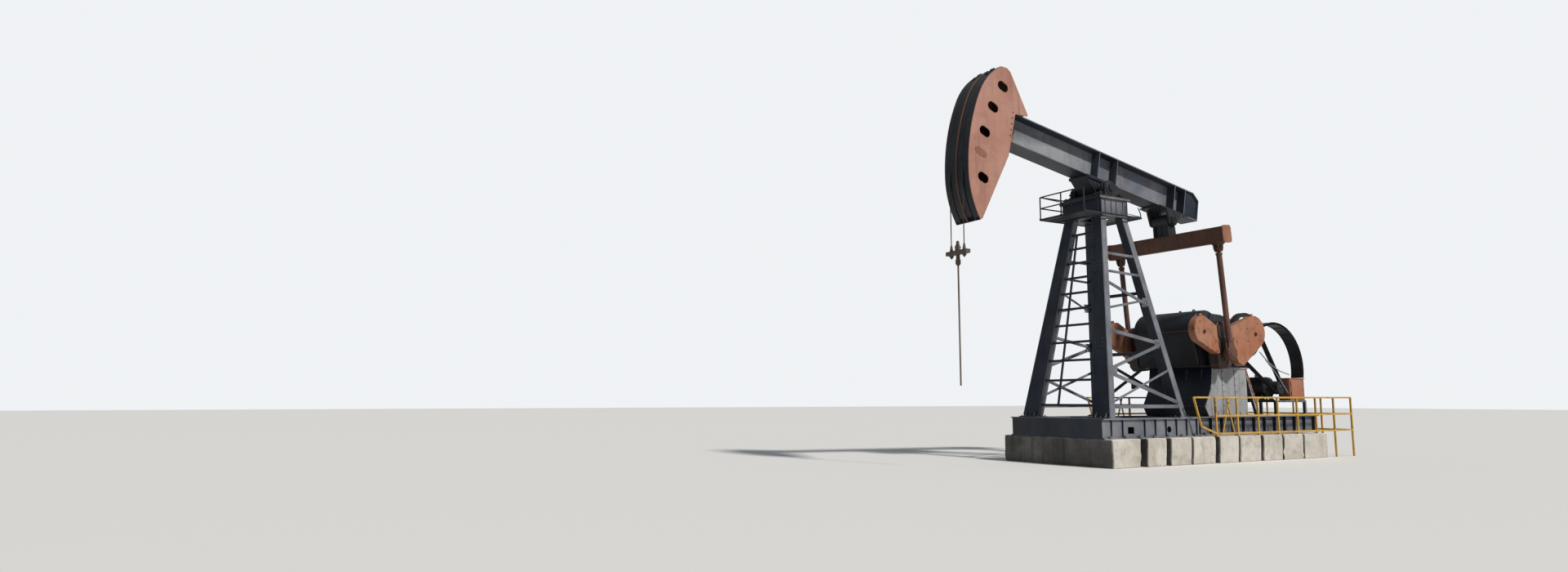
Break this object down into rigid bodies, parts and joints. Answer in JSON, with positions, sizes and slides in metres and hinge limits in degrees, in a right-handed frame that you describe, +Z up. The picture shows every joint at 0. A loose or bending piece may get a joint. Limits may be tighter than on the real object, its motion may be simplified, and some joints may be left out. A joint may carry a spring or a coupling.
{
  "type": "beam pumping unit",
  "caption": "Crank-balanced beam pumping unit on a concrete foundation, with horsehead, A-shaped tower, gear reducer, belt drive and guard rails.",
  "frame": {"origin": "on the ground, straight below the saddle bearing, in the plane of the walking beam", "axes": "+X from the well towards the motor, +Y to the unit's far side in the picture, +Z up"},
  "size_m": [13.7803, 3.96, 10.217],
  "materials": {
    "concrete": "weathered, stained",
    "tower_paint": "weathered blue-grey paint",
    "dark_metal": "oily dark paint",
    "pedestal_paint": "weathered light grey paint",
    "steel": "worn steel",
    "belt_rubber": "matt",
    "salmon_paint": "faded orange paint",
    "rail_paint": "yellow paint with rust",
    "rusty_paint": "rust-brown paint"
  },
  "bodies": {
    "root": {"foundation": "concrete", "skid_front": "tower_paint", "skid_rear": "tower_paint", "leg_front_near": "tower_paint", "leg_front_far": "tower_paint", "leg_rear_near": "tower_paint", "leg_rear_far": "tower_paint", "bracing_near": "tower_paint", "bracing_far": "tower_paint", "bracing_rear": "tower_paint", "front_rungs": "tower_paint", "tower_cap": "tower_paint", "platform_floor": "tower_paint", "platform_rail": "tower_paint", "saddle_bearings": "dark_metal", "pedestal": "pedestal_paint", "gear_reducer": "dark_metal", "input_shaft": "steel", "large_sheave": "dark_metal", "drive_belts": "belt_rubber", "motor_sheave": "dark_metal", "belt_guard": "dark_metal", "guard_box": "salmon_paint", "motor": "tower_paint", "motor_frame": "tower_paint", "guard_rail_near": "rail_paint", "guard_rail_far": "rail_paint", "guard_rail_rear": "rail_paint", "upper_wires": "dark_metal"},
    "beam": {"walking_beam": "tower_paint", "saddle_bracket": "dark_metal", "tail_bracket": "dark_metal", "head_plates": "salmon_paint", "head_frame": "rusty_paint", "head_face": "dark_metal", "head_rib": "rusty_paint", "head_wires": "dark_metal"},
    "equalizer": {"equalizer": "rusty_paint", "pitman_near": "rusty_paint", "pitman_far": "rusty_paint"},
    "crank": {"crank_shaft": "steel", "crank_near": "rusty_paint", "crank_far": "rusty_paint", "weights_near": "salmon_paint", "weights_far": "salmon_paint"},
    "hanger": {"hanger_wires": "dark_metal", "carrier_bar": "rusty_paint", "polished_rod": "steel"}
  },
  "joints": [
    {"name": "crank_turn", "type": "hinge", "parent": "root", "child": "crank", "pos_m": [3.253, 0, 3.53684], "axis": [0, -1, 0], "range_deg": [0, 178.84]},
    {"name": "beam_rock", "type": "hinge", "parent": "root", "child": "beam", "pos_m": [0, 0, 7.4], "axis": [0, -1, 0], "range_deg": [0, 23.21]},
    {"name": "tail_hinge", "type": "hinge", "parent": "beam", "child": "equalizer", "pos_m": [2.93936, 0, 6.85204], "axis": [0, 1, 0], "range_deg": [0, 24.37]},
    {"name": "hanger_slide", "type": "slide", "parent": "root", "child": "hanger", "axis": [0, 0, -1], "range_m": [0, 1.98123]}
  ],
  "couplings": [
    {"joint": "beam_rock", "follows": "crank_turn", "ratio": 0.12974},
    {"joint": "tail_hinge", "follows": "crank_turn", "ratio": 0.13621},
    {"joint": "hanger_slide", "follows": "crank_turn", "m_per_rad": 0.63441}
  ]
}
